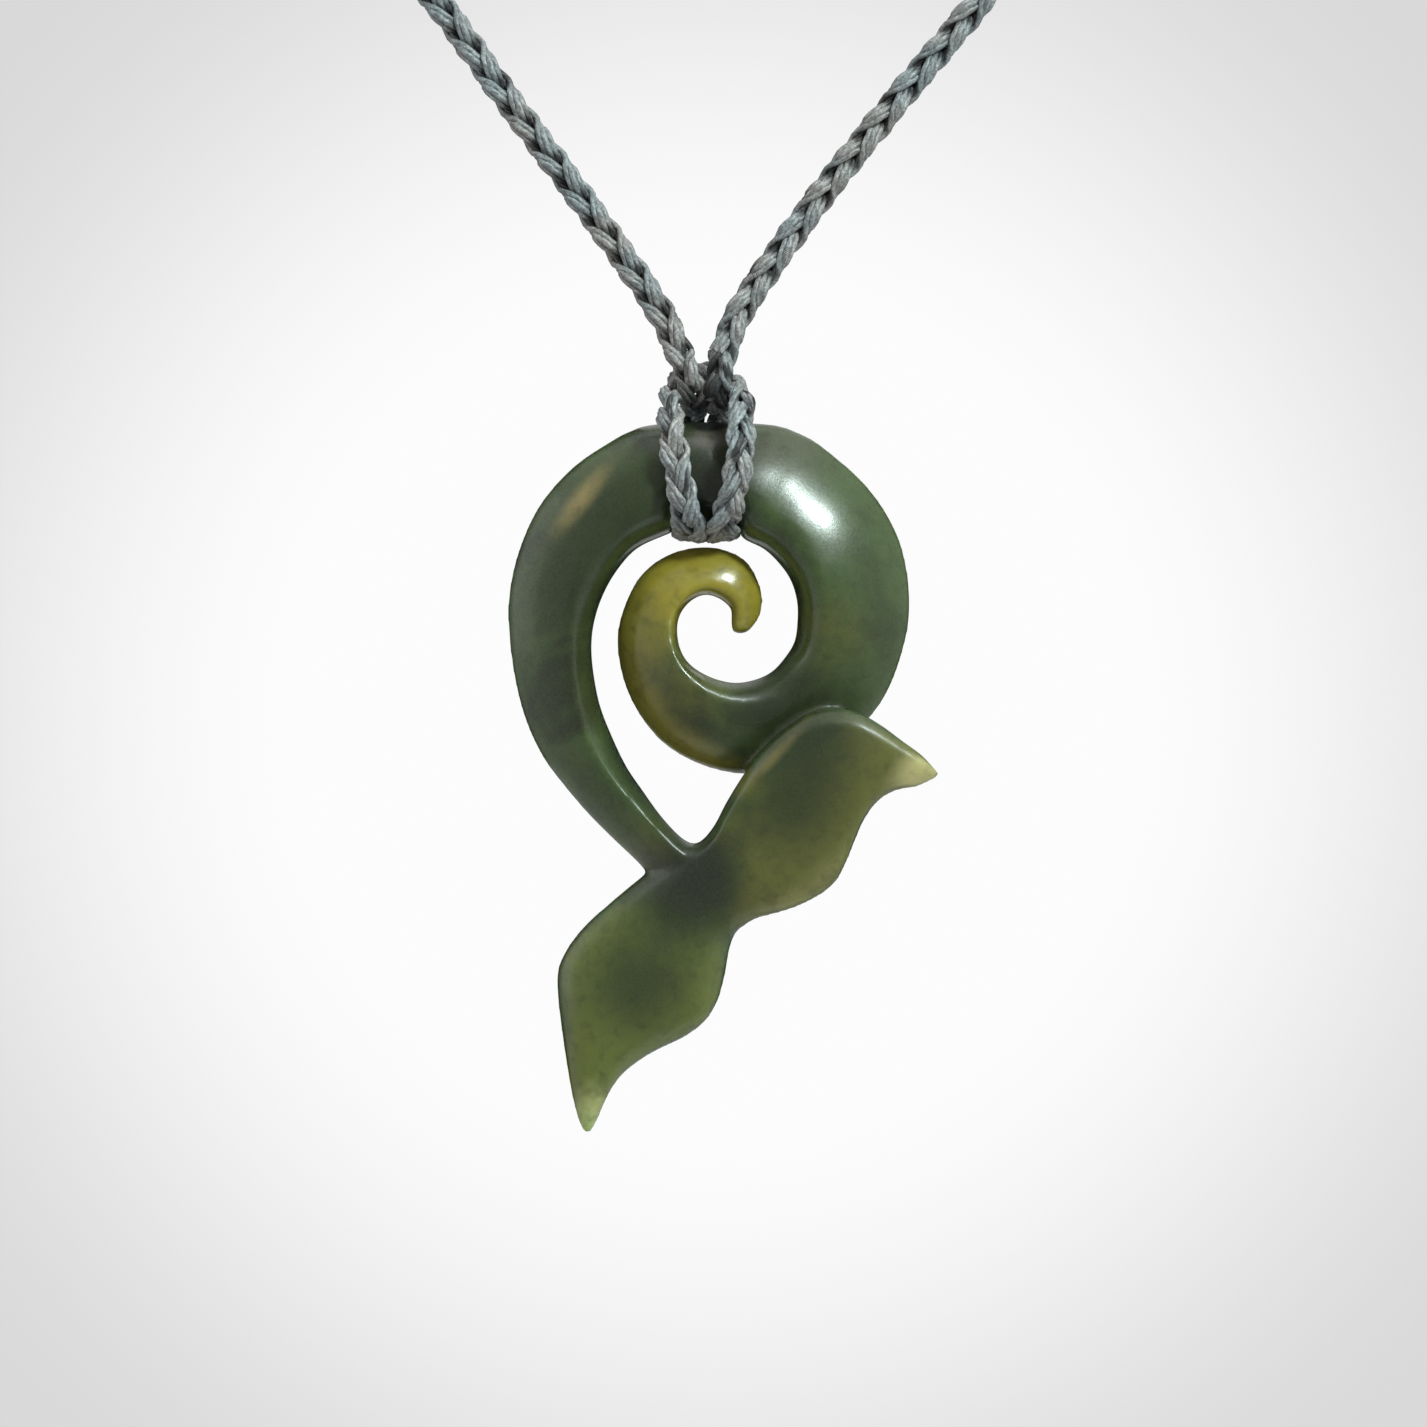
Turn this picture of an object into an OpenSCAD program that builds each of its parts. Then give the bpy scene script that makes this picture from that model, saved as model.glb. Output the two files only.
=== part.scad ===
// Jade whale tail pendant on a plaited neck cord.
// A koru spiral opens into a ring, whose arm runs down into a whale's tail with two flukes.
// The front faces -Y. The origin is the underside of the joining knot, where the cord rests
// behind the neck, and the stone hangs below it.

/* [Stone] */
// Overall width of the carving, from the outer arm to the fluke's tip
stone_width = 32.1; // [30:0.1:34]
// Overall height of the carving, from the ring's top to the lower fluke's tip
stone_height = 53.2; // [50:0.1:56]
// Overall thickness of the carving
stone_depth = 8.1; // [7.8:0.1:8.3]

/* [Cord] */
// Diameter of the plaited cord
cord_d = 2.3; // [2:0.1:2.8]

/* [Knot] */
// Length of the wrapped knot behind the neck
knot_length = 24; // [20:1:28]
// Outer diameter of the wrapped knot
knot_d = 7.6; // [7:0.2:8.4]
// Number of turns wound round the knot
knot_turns = 9; // [7:1:11]
// Bore that the cord runs through
knot_bore = 3.4; // [3:0.1:3.8]
// How much wider a turn is than the space between two turns
turn_overlap = 1.12; // [1.05:0.01:1.2]

/* [Hidden] */

jade = [0.17, 0.26, 0.12];
grey_cord = [0.42, 0.46, 0.46];

// Height of the cord's centreline at the top of the loop, over the middle of the stone's bar
loop_top = 160;
// The bar is the top of the ring, under the hitch, and the stone swings about its middle
bar_drop = loop_top - knot_d / 2;

// Every station across the carving runs from an inner edge to an outer edge. half is half of
// the thickness, mid is how far the middle plane lies behind the bar's, crease is 0 where the
// face is rounded over its crest and 1 where it breaks there over a sharp rim, and rim is how
// far across the width that crest lies, as a share of it.
// inner x, inner z, outer x, outer z, half, mid, crease, rim
curl_stations = [
    [2.2,    -12.15, 2.7,    -12.2,  0.4,  0,    0,   0.3 ],
    [1.9,    -11.9,  3.3,    -11.9,  0.9,  0,    0,   0.3 ],
    [1.85,   -11.05, 4.1,    -10.6,  1.2,  0,    0,   0.3 ],
    [1.85,   -10.35, 4.1,    -8.85,  1.45, 0,    0,   0.28],
    [1.2,    -9.7,   3.15,   -6.9,   1.7,  0,    0,   0.25],
    [0.6,    -9.4,   1.65,   -5.95,  1.85, 0,    0,   0.23],
    [-0.1,   -9.25,  -0.4,   -5.65,  2.0,  0,    0,   0.2 ],
    [-1.0,   -9.6,   -2.9,   -6.25,  2.2,  0,    0,   0.17],
    [-1.75,  -10.35, -5.05,  -7.95,  2.4,  0,    0,   0.14],
    [-2.15,  -11.3,  -6.4,   -10.85, 2.6,  0,    0,   0.12],
    [-2.15,  -12.5,  -6.65,  -13.3,  2.8,  0,    0,   0.12],
    [-1.85,  -13.6,  -6.1,   -16.0,  3.0,  0,    0,   0.12],
    [-1.25,  -14.45, -4.85,  -18.5,  3.15, 0,    0,   0.14],
    [-0.35,  -15.1,  -2.95,  -20.6,  3.2,  0.1,  0,   0.17],
    [0.8,    -15.6,  -0.3,   -22.05, 3.2,  0.3,  0,   0.2 ],
    [2.2,    -15.85, 2.7,    -22.7,  3.1,  0.6,  0,   0.22],
    [3.65,   -15.6,  5.85,   -22.3,  3.0,  0.9,  0,   0.24],
    [4.9,    -15.0,  8.85,   -20.9,  2.95, 1.0,  0,   0.25],
    [5.9,    -13.9,  11.4,   -19.3,  3.1,  0.9,  0,   0.26],
    [6.6,    -12.7,  13.25,  -17.05, 3.4,  0.6,  0,   0.26],
    [6.8,    -11.1,  14.45,  -14.2,  3.7,  0.3,  0,   0.26],
    [6.75,   -9.7,   15.15,  -10.95, 3.9,  0.1,  0,   0.26],
    [6.3,    -8.2,   15.0,   -7.6,   4.0,  0,    0,   0.26],
    [5.45,   -6.95,  14.05,  -4.3,   4.0,  0,    0,   0.26],
    [4.3,    -5.85,  11.9,   -1.05,  3.95, 0,    0,   0.28],
    [3.05,   -5.25,  8.7,    1.8,    3.85, 0,    0,   0.33],
    [2.6,    -4.9,   7.0,    2.8,    3.75, 0,    0,   0.4 ],
    [2.25,   -4.3,   5.3,    3.4,    3.65, 0,    0,   0.46],
    [1.2,    -3.95,  2.6,    3.62,   3.6,  0,    0,   0.5 ],
    [0,      -3.9,   0,      3.65,   3.6,  0,    0,   0.5 ],
    [-1.2,   -3.95,  -2.4,   3.6,    3.6,  0,    0,   0.5 ],
    [-2.2,   -4.2,   -4.6,   3.35,   3.65, 0,    0,   0.48],
    [-2.6,   -4.65,  -5.7,   2.95,   3.7,  0,    0,   0.45],
    [-3.15,  -4.85,  -6.8,   2.4,    3.75, 0,    0,   0.41],
    [-5.25,  -5.85,  -9.8,   0.4,    3.7,  0,    0.1, 0.35],
    [-6.8,   -7.6,   -12.35, -2.4,   3.6,  0,    0.3, 0.3 ],
    [-7.85,  -9.55,  -13.95, -5.75,  3.5,  0,    0.5, 0.26],
    [-8.45,  -11.55, -14.75, -9.3,   3.4,  0,    0.75,0.23],
    [-8.6,   -13.4,  -14.7,  -12.8,  3.3,  0,    0.9, 0.22],
    [-8.4,   -15.45, -14.15, -16.35, 3.2,  0,    1,   0.24],
    [-7.95,  -17.6,  -13.35, -19.05, 3.1,  0,    1,   0.27],
    [-7.1,   -19.8,  -12.15, -21.5,  3.0,  0,    1,   0.31],
    [-6.0,   -22.1,  -10.55, -23.65, 2.9,  0,    1,   0.29],
    [-4.75,  -23.95, -8.75,  -25.75, 2.8,  0,    1,   0.26],
    [-3.5,   -25.7,  -6.85,  -27.65, 2.7,  -0.1, 1,   0.22],
    [-2.35,  -27.0,  -5.3,   -29.1,  2.6,  -0.2, 1,   0.22],
    [-1.5,   -27.7,  -4.5,   -30.0,  2.5,  -0.3, 1,   0.24],
    [-0.55,  -28.1,  -3.75,  -31.05, 2.3,  -0.4, 1,   0.28],
    [0.45,   -29.1,  -2.5,   -31.8,  2.0,  -0.5, 0.5, 0.3 ],
];

// The flukes, from the lower tip to the upper one: inner is the leading edge
// inner x, inner z, outer x, outer z, half, mid, crease, rim
tail_stations = [
    [-9.15,  -49.5,  -8.65,  -49.5,  0.3,  0,    0,   0.4 ],
    [-9.6,   -48.4,  -8.1,   -48.5,  0.65, 0,    0,   0.4 ],
    [-10.05, -46.6,  -7.6,   -47.3,  1.05, 0,    0,   0.4 ],
    [-10.45, -44.25, -7.05,  -46.2,  1.45, 0,    0,   0.4 ],
    [-10.8,  -41.85, -6.15,  -45.05, 1.75, 0,    0,   0.4 ],
    [-11.1,  -39.3,  -4.8,   -44.0,  2.0,  0,    0,   0.4 ],
    [-11.1,  -37.3,  -3.4,   -43.2,  2.15, 0,    0,   0.4 ],
    [-10.35, -35.6,  -1.7,   -42.4,  2.3,  0,    0,   0.4 ],
    [-9.0,   -33.9,  -0.15,  -41.25, 2.4,  0,    0,   0.4 ],
    [-7.35,  -32.45, 0.75,   -39.9,  2.5,  0,    0.1, 0.4 ],
    [-5.8,   -31.15, 1.2,    -38.55, 2.55, 0,    0.2, 0.35],
    [-4.35,  -30.0,  1.5,    -37.15, 2.6,  -0.1, 0.3, 0.3 ],
    [-2.85,  -28.95, 1.65,   -36.15, 2.6,  -0.2, 0.6, 0.2 ],
    [-1.45,  -28.15, 1.9,    -35.2,  2.55, -0.4, 0.9, 0.14],
    [-0.35,  -27.65, 2.25,   -34.5,  2.45, -0.6, 1,   0.12],
    [0.6,    -26.5,  2.85,   -34.0,  2.3,  -0.9, 1,   0.11],
    [1.4,    -24.95, 3.7,    -33.5,  2.15, -1.2, 1,   0.1 ],
    [2.35,   -23.35, 4.95,   -33.15, 2.05, -1.5, 1,   0.1 ],
    [3.5,    -21.65, 6.7,    -32.6,  2.0,  -1.8, 1,   0.1 ],
    [4.8,    -20.25, 8.3,    -31.8,  1.95, -2.0, 1,   0.1 ],
    [6.2,    -19.1,  9.65,   -30.7,  1.9,  -2.1, 1,   0.1 ],
    [7.9,    -18.1,  10.45,  -29.15, 1.85, -2.2, 1,   0.1 ],
    [9.7,    -17.8,  11.05,  -27.65, 1.75, -2.3, 1,   0.11],
    [11.4,   -18.15, 11.7,   -26.15, 1.65, -2.4, 1,   0.13],
    [13.0,   -19.05, 12.65,  -24.8,  1.45, -2.4, 1,   0.16],
    [14.55,  -20.2,  13.95,  -23.95, 1.2,  -2.4, 0.9, 0.2 ],
    [16.05,  -21.3,  15.65,  -23.6,  0.85, -2.4, 0.5, 0.25],
    [17.25,  -22.6,  17.1,   -22.95, 0.3,  -2.4, 0,   0.3 ],
];

// Power of the rounding: 0.5 is an ellipse, and more gives a thinner edge
curl_round = 0.5;
tail_round = 0.62;
// Thickness left at the foot of a rim's wall, as a share of the whole, and the power of its rise
rim_foot = 0.35;
rim_rise = 0.7;
// Half the thickness of the thinnest edge
edge_half = 0.02;
// Points across a face, from one edge to the rim and from the rim to the other edge
rim_steps = 4;
face_steps = 8;
// Stations drawn between two rows of a table
station_steps = 2;

// Half of the hitch's route, from the neck cord's end down behind the bar, under it, up the
// front as a leg and over to the middle of the arch. width lies along the bar, thick across it.
// x, y, z, width, thick
hitch_half = [
    [1.6,  -2.4,   8.6,  2.3, 2.3],
    [1.25, -2.7,   7.2,  2.0, 2.2],
    [0.95, -2.3,   5.9,  1.7, 1.7],
    [0.9,  -0.2,   4.95, 1.7, 1.3],
    [1.0,   2.6,   4.15, 1.8, 1.3],
    [1.1,   4.5,   1.8,  2.0, 1.3],
    [1.2,   4.7,  -1.4,  2.1, 1.2],
    [1.2,   3.1,  -3.9,  2.0, 1.1],
    [1.25,  0.1,  -4.85, 1.9, 1.0],
    [1.3,  -3.0,  -4.15, 1.9, 1.1],
    [1.75, -4.75, -1.7,  2.2, 1.5],
    [2.3,  -4.85,  1.1,  2.4, 1.7],
    [2.6,  -4.3,   3.3,  2.2, 1.9],
    [2.65, -2.8,   5.0,  2.0, 2.0],
    [2.2,  -0.5,   6.3,  1.8, 2.0],
    [1.2,   1.2,   7.1,  2.1, 2.1],
    [0,     1.5,   7.4,  2.2, 2.2],
];
hitch_sides = 12;
hitch_steps = 2;
// The top of the hitch leans to the left: how much for each millimetre, and from what height
lean = -0.1;
lean_from = 5.1;

// The neck cord's route, from the hitch's right end round the neck to its left end
// x, y, z
neck_route = [
    [1.25, -2.4, 8.6], [2.9, -2.1, 12.4], [8.2, -1.5, 20], [14.3, -1, 27.7], [20.6, -0.5, 35.3],
    [31, 0, 48.5], [42, 0, 62.5], [52, 0, 77], [60, 0, 93], [64.5, 0, 110], [64.5, 0, 126],
    [59, 0, 140], [48, 0, 151], [33, 0, 157.5], [16.5, 0, 159.6], [0, 0, loop_top],
    [-16.5, 0, 159.6], [-33, 0, 157.5], [-48, 0, 151], [-59, 0, 140], [-64.5, 0, 126],
    [-64.5, 0, 110], [-60, 0, 93], [-52, 0, 77], [-42, 0, 62.5], [-31, 0, 48.5],
    [-20.3, -0.5, 35.3], [-14.8, -1, 27.7], [-9.1, -1.5, 20], [-3.8, -2.1, 12.4],
    [-1.95, -2.4, 8.6],
];
cord_sides = 8;
cord_steps = 2;

function unit(v) = v / norm(v);
function xyz(row) = [row[0], row[1], row[2]];
function moved(row, x) = [for (i = [0 : len(row) - 1]) i == 0 ? x : row[i]];
function leaned(row) = moved(row, row[0] + lean * max(row[2] - lean_from, 0));
right_half = [for (row = hitch_half) leaned(row)];
left_half = [for (row = hitch_half) leaned(moved(row, -row[0]))];

// A smooth curve through the rows of a table, steps points to a row
function between(t, i, f) =
    let (last = len(t) - 1, a = t[max(i - 1, 0)], b = t[i], c = t[i + 1], d = t[min(i + 2, last)])
    0.5 * (2 * b + (c - a) * f + (2 * a - 5 * b + 4 * c - d) * f * f
        + (3 * b - a - 3 * c + d) * f * f * f);
function smoothed(t, steps) =
    concat([for (i = [0 : len(t) - 2]) for (k = [0 : steps - 1]) between(t, i, k / steps)],
        [t[len(t) - 1]]);

// A closed skin over rings of points that all have the same count
module skin(rings) {
    n = len(rings[0]);
    last = len(rings) - 1;
    walls = [for (i = [0 : last - 1]) for (k = [0 : n - 1])
        let (a = i * n + k, b = i * n + (k + 1) % n) each [[a, b + n, b], [a, a + n, b + n]]];
    start_cap = [for (k = [0 : n - 1]) k];
    end_cap = [for (k = [n - 1 : -1 : 0]) last * n + k];
    polyhedron([for (ring = rings) each ring], concat([start_cap], walls, [end_cap]),
        convexity = 10);
}

// How far across the face the k-th point lies, with the points closer together at the edges
function across(k, rim) =
    k <= rim_steps
        ? rim * (1 - cos(90 * k / rim_steps))
        : rim + (1 - rim) * sin(90 * (k - rim_steps) / face_steps);
function bulge(s, power) = pow(max(1 - s * s, 0), power);
// Height of the face at u across it, as a share of half the thickness
function outer_face(u, rim, power) = bulge((u - rim) / (1 - rim), power);
function inner_face(u, rim, crease, power) =
    (1 - crease) * bulge(1 - u / rim, power)
        + crease * (rim_foot + (1 - rim_foot) * pow(u / rim, rim_rise));

// One ring of points round the carving at a station
function section(row, power) =
    let (inner = [row[0], row[5], row[1]], outer = [row[2], row[5], row[3]],
        half = row[4], crease = row[6], rim = row[7],
        last = rim_steps + face_steps,
        front = [for (k = [0 : last])
            let (u = across(k, rim),
                height = u < rim ? inner_face(u, rim, crease, power) : outer_face(u, rim, power))
            inner + u * (outer - inner) - [0, half * height + edge_half, 0]],
        back = [for (k = [last : -1 : 0])
            [front[k][0], 2 * row[5] - front[k][1], front[k][2]]])
    concat(front, back);

module carving(stations, power) {
    skin([for (row = smoothed(stations, station_steps)) section(row, power)]);
}

// The frame that a cord's section keeps as it follows its route, turned no more than it must be
function turned(side, along) = unit(side - (side * along) * along);
function directions(p, first, last) =
    [for (i = [0 : len(p) - 1])
        i == 0 ? first : i == len(p) - 1 ? last : unit(p[i + 1] - p[i - 1])];
function sides_along(dirs, start) =
    [for (i = 0, s = turned(start, dirs[0]); i < len(dirs);
        i = i + 1, s = i < len(dirs) ? turned(s, dirs[i]) : s) s];

// A cord with an oval section: rows of x, y, z, width and thick
module swept(rows, count, first, last) {
    path = [for (row = rows) xyz(row)];
    dirs = directions(path, first, last);
    wide = sides_along(dirs, [1, 0, 0]);
    skin([for (i = [0 : len(path) - 1])
        [for (k = [0 : count - 1])
            let (a = 360 * (k + 0.5) / count)
            path[i] + wide[i] * cos(a) * rows[i][3] / 2
                + cross(dirs[i], wide[i]) * sin(a) * rows[i][4] / 2]]);
}

// The cord leaves the hitch in one straight line, so the two ends share a plane
function leaving(route_point, hitch_point) = unit(route_point - hitch_point);
right_leaving = leaving(neck_route[1], xyz(right_half[1]));
left_leaving = leaving(neck_route[len(neck_route) - 2], xyz(left_half[1]));

module jade_stone() {
    color(jade) translate([0, 0, -bar_drop])
        resize([stone_width, stone_depth, stone_height]) union() {
            carving(curl_stations, curl_round);
            carving(tail_stations, tail_round);
        }
}

module cord_hitch() {
    left_back = [for (i = [len(left_half) - 2 : -1 : 0]) left_half[i]];
    color(grey_cord) translate([0, 0, -bar_drop])
        swept(smoothed(concat(right_half, left_back), hitch_steps), hitch_sides,
            -right_leaving, left_leaving);
}

module neck_cord() {
    rows = [for (p = neck_route) concat(p, [cord_d, cord_d])];
    color(grey_cord) translate([0, 0, -bar_drop])
        swept(smoothed(rows, cord_steps), cord_sides, right_leaving, -left_leaving);
}

module joining_knot() {
    pitch = knot_length / knot_turns;
    wrap_r = pitch * turn_overlap / 2;
    core_r = knot_d / 2 - wrap_r;
    color(grey_cord) translate([0, 0, loop_top - bar_drop]) rotate([0, 90, 0])
        rotate_extrude($fn = 48) difference() {
            union() {
                translate([0, -(knot_length - pitch) / 2])
                    square([core_r + wrap_r / 2, knot_length - pitch]);
                for (i = [0 : knot_turns - 1])
                    translate([core_r, (i - (knot_turns - 1) / 2) * pitch])
                        circle(r = wrap_r, $fn = 24);
            }
            translate([-knot_d, -knot_length])
                square([knot_d + knot_bore / 2, 2 * knot_length]);
        }
}

jade_stone();
cord_hitch();
neck_cord();
joining_knot();
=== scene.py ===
import math

import bmesh
import bpy
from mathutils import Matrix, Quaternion, Vector
from mathutils.bvhtree import BVHTree


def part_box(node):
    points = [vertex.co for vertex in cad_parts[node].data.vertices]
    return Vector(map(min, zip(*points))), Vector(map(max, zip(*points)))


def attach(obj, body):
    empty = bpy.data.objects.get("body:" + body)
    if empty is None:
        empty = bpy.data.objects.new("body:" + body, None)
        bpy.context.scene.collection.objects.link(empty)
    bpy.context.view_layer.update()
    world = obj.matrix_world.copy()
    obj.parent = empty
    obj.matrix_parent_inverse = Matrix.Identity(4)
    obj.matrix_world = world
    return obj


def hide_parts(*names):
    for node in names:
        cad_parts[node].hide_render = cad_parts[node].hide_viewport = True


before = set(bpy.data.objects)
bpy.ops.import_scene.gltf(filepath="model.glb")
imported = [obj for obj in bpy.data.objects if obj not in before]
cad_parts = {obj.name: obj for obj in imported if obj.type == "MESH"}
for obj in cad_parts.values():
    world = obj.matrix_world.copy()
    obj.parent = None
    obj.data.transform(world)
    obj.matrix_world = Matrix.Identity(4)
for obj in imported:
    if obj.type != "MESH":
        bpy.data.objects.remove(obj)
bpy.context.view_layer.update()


# Camera. The photo looks straight at the pendant's front from about 45 cm away. Its frame is
# 107 mm wide where the pendant hangs: 1427 pixels of 0.075 mm.
camera_distance = 0.45
frame_width = 0.107025
view_centre = Vector((0.00056, 0, -0.17439))

lens = bpy.data.cameras.new("photo_view")
lens.sensor_width = 36
lens.lens = lens.sensor_width * camera_distance / frame_width
lens.clip_start = 0.01
camera = bpy.data.objects.new("photo_view", lens)
camera.location = view_centre - Vector((0, camera_distance, 0))
camera.rotation_euler = (math.radians(90), 0, 0)
bpy.context.scene.collection.objects.link(camera)
bpy.context.scene.camera = camera


# Waxed thread. All of the cord is one grey polyester thread, waxed so that it shines a little.
# Each thread is two twisted yarns, and the wax has picked up cool and warm greys.
class Value:
    """The value on a socket. Sums on it add the nodes that work them out."""

    def __init__(self, tree, socket):
        self.tree = tree
        self.socket = socket

    def sum(self, operation, *others):
        return self.tree.node("ShaderNodeMath", {"operation": operation}, [self, *others])

    def __add__(self, other):
        return self.sum("ADD", other)

    __radd__ = __add__

    def __mul__(self, other):
        return self.sum("MULTIPLY", other)

    __rmul__ = __mul__

    def __sub__(self, other):
        return self.sum("SUBTRACT", other)

    def __rsub__(self, other):
        return (self * -1) + other

    def __truediv__(self, other):
        return self.sum("DIVIDE", other)


class Finish:
    """A material, or the world's light, that is put together from nodes."""

    def __init__(self, owner):
        owner.use_nodes = True
        self.nodes = owner.node_tree.nodes
        self.links = owner.node_tree.links
        self.nodes.clear()

    def node(self, kind, settings=None, inputs=(), output=0):
        """Adds a node. Its settings come first, then its inputs by place or by name."""
        node = self.nodes.new(kind)
        for name, value in (settings or {}).items():
            setattr(node, name, value)
        pairs = inputs.items() if isinstance(inputs, dict) else enumerate(inputs)
        for name, value in pairs:
            if isinstance(value, Value):
                self.links.new(value.socket, node.inputs[name])
            elif value is not None:
                node.inputs[name].default_value = value
        return Value(self, node.outputs[output])

    def ramp(self, value, low, high):
        """0 where the value is under low, 1 where it is over high, and smooth between."""
        settings = {"interpolation_type": "SMOOTHSTEP"}
        return self.node("ShaderNodeMapRange", settings, [value, low, high, 0.0, 1.0])

    def noise(self, place, scale, detail=2.0, roughness=0.5, bend=0.0):
        inputs = {"Vector": place, "Scale": scale, "Detail": detail,
                  "Roughness": roughness, "Distortion": bend}
        return self.node("ShaderNodeTexNoise", None, inputs)

    def blend(self, share, first, second, how="MIX"):
        """A colour that goes from the first to the second as the share goes from 0 to 1."""
        settings = {"data_type": "RGBA", "blend_type": how}
        inputs = {"Factor": share, 6: first, 7: second}
        return self.node("ShaderNodeMix", settings, inputs, 2)

    def surface(self, fixed, changing):
        """The finish's shader, with its fixed and its changing inputs."""
        shader = self.node("ShaderNodeBsdfPrincipled", None, {**fixed, **changing})
        out = self.nodes.new("ShaderNodeOutputMaterial")
        self.links.new(shader.socket, out.inputs[0])


def grey(level):
    return (level, level, level, 1)


cool_grey = (0.265, 0.305, 0.315, 1)
warm_grey = (0.315, 0.305, 0.29, 1)
# How far the yarns go along the thread for one turn, in mm, and how many there are
yarn_pitch = 1.1
yarns = 2
# The least light that the valleys between the strands keep under their painted shade. The hitch's
# legs get painted light: lighter by a share, in full below the first height and not at all above
# the second, in m
valley_light = 0.15
leg_light_share = 0.18
leg_light_full_below = -0.154
leg_light_none_above = -0.15

waxed_thread = bpy.data.materials.new("waxed_thread")
finish = Finish(waxed_thread)
thread_map = finish.node("ShaderNodeUVMap", {"uv_map": "UVMap"})
far_along = finish.node("ShaderNodeSeparateXYZ", None, [thread_map], 0)
far_round = finish.node("ShaderNodeSeparateXYZ", None, [thread_map], 1)
which = (far_round / 2).sum("FLOOR")
own_shade = finish.node("ShaderNodeTexWhiteNoise", {"noise_dimensions": "1D"}, {"W": which}, 0)
place = finish.node("ShaderNodeTexCoord", None, (), 3)
streak_place = finish.node("ShaderNodeCombineXYZ", None, [far_along * 0.8, far_round * 2.5])
streaks = finish.noise(streak_place, 1.6, 3)
wax = finish.noise(place, 260.0, 2)
specks = finish.noise(place, 1500.0, 2)
fuzz_and_sparkle = finish.noise(place, 5000.0, 2)
twist = ((far_along / yarn_pitch + far_round * yarns) * math.tau).sum("SINE")
tint = finish.blend(finish.ramp(wax + own_shade * 0.1, 0.35, 0.75), cool_grey, warm_grey)
proud_shade = finish.node("ShaderNodeAttribute", {"attribute_name": "proud_shade"}, (), 2)
# Painted shade: the valleys between the strands are darkened
valley = finish.ramp(proud_shade, 0.4, 0.85)
fibres = finish.ramp(streaks, 0.3, 0.7)
depth = 0.65 + 0.45 * fibres + 0.12 * own_shade + 0.1 * twist
depth = depth * (valley_light + (1 - valley_light) * valley)
# Painted sparkle: fine specks lighten and darken the thread's colour for the wax's glints
depth = depth * (0.72 + 0.5 * finish.ramp(fuzz_and_sparkle, 0.35, 0.65))
height = finish.node("ShaderNodeSeparateXYZ", None, [place], 2)
# Painted light: the legs, low on the cord, are made lighter
depth = depth * (1 + leg_light_share - leg_light_share * finish.ramp(height, leg_light_full_below, leg_light_none_above))
shade = finish.node("ShaderNodeCombineColor", None, [depth] * 3)
colour = finish.blend(1.0, tint, shade, "MULTIPLY")
raised = 0.4 * twist + 1.2 * streaks + 0.6 * specks + 0.5 * fuzz_and_sparkle
bump = finish.node("ShaderNodeBump", None, {"Strength": 0.7, "Distance": 0.00008, "Height": raised})
finish.surface(
    {"IOR": 1.5, "Specular IOR Level": 0.6},
    {"Base Color": colour, "Roughness": 0.28 + 0.3 * specks, "Normal": bump})


# The hitch. The middle of the cord makes a lark's head round the top of the stone's ring. It is
# plaited in three strands of four threads. Both ends of the cord come down in front of the
# arch, go behind the ring and under it, and climb its front as two legs.
MM = 0.001
# The middle of the ring's top, where the stone swings: places are in mm from it
bar = Vector((0, 0, -156.2))
thread_radius = 0.26
thread_sides = 6
strands = 3
# A strand is a flat bundle. Its threads lie at these places across it and out of it, in mm
threads_in_strand = [(-0.34, 0), (0, 0.16), (0.34, 0), (0, -0.16)]
# How far a strand swings across the plait and through it, and the plait's own size, in mm
swing_across = 0.62
swing_through = 0.5
plait_wide = 2.3
plait_thick = 2.0
half_across = swing_across + threads_in_strand[2][0] + thread_radius
half_through = swing_through + threads_in_strand[1][1] + thread_radius
# How sharply a strand rolls over at the plait's edges
roll_over = 2.2
# How far along the cord a strand goes before it lies the same way again, and how far apart the
# points of a thread are, in mm. A smooth curve has this many steps to each row of its route.
leg_lay = 8.6
hitch_step = 0.3
curve_steps = 16
# How much painted shade darkens the cord between the legs, and from where to where, in mm
tuck_shade = 0.75
tuck_shade_from = 1.1
tuck_shade_to = 9
arch_shade_reach = 1.6

# x, y, z, width, thick, in mm from the middle of the ring's top: from the right end of the
# neck cord down behind the ring, under it and up its front to the middle of the arch
hitch_half = [
    (1.6, -2.4, 8.6, 2.3, 2.3),
    (1.25, -2.7, 7.2, 2.1, 2.2),
    (0.95, -2.3, 5.9, 2.3, 1.8),
    (0.9, -0.2, 4.95, 2.3, 1.5),
    (1.0, 2.6, 4.15, 2.0, 1.4),
    (1.1, 4.5, 1.8, 2.0, 1.3),
    (1.2, 4.7, -1.4, 2.1, 1.2),
    (1.2, 3.1, -3.9, 2.6, 1.2),
    (1.25, 0.1, -4.85, 2.8, 1.2),
    (1.3, -3.0, -4.15, 2.8, 1.3),
    (1.8, -4.75, -1.7, 2.4, 1.5),
    (2.3, -4.85, 1.1, 2.4, 1.7),
    (2.6, -4.3, 3.3, 2.2, 1.9),
    (2.65, -2.8, 5.0, 2.0, 2.0),
    (2.2, -0.5, 6.3, 1.8, 2.0),
    (1.2, 1.2, 7.1, 2.1, 2.1),
    (0, 1.5, 7.4, 2.2, 2.2),
]


def smooth(rows, steps):
    """Points on a smooth curve through the rows, steps to a row."""
    last = len(rows) - 1
    curve = []
    for i in range(last):
        near = [rows[min(max(j, 0), last)] for j in (i - 1, i, i + 1, i + 2)]
        for k in range(steps):
            f = k / steps
            curve.append([
                0.5 * (2 * b + (c - a) * f + (2 * a - 5 * b + 4 * c - d) * f**2
                       + (3 * b - a - 3 * c + d) * f**3)
                for a, b, c, d in zip(*near)])
    return curve + [list(rows[-1])]


def far_along_curve(curve):
    """How far along the curve each of its points is."""
    far = [0.0]
    for a, b in zip(curve, curve[1:]):
        far.append(far[-1] + math.dist(a[:3], b[:3]))
    return far


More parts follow.
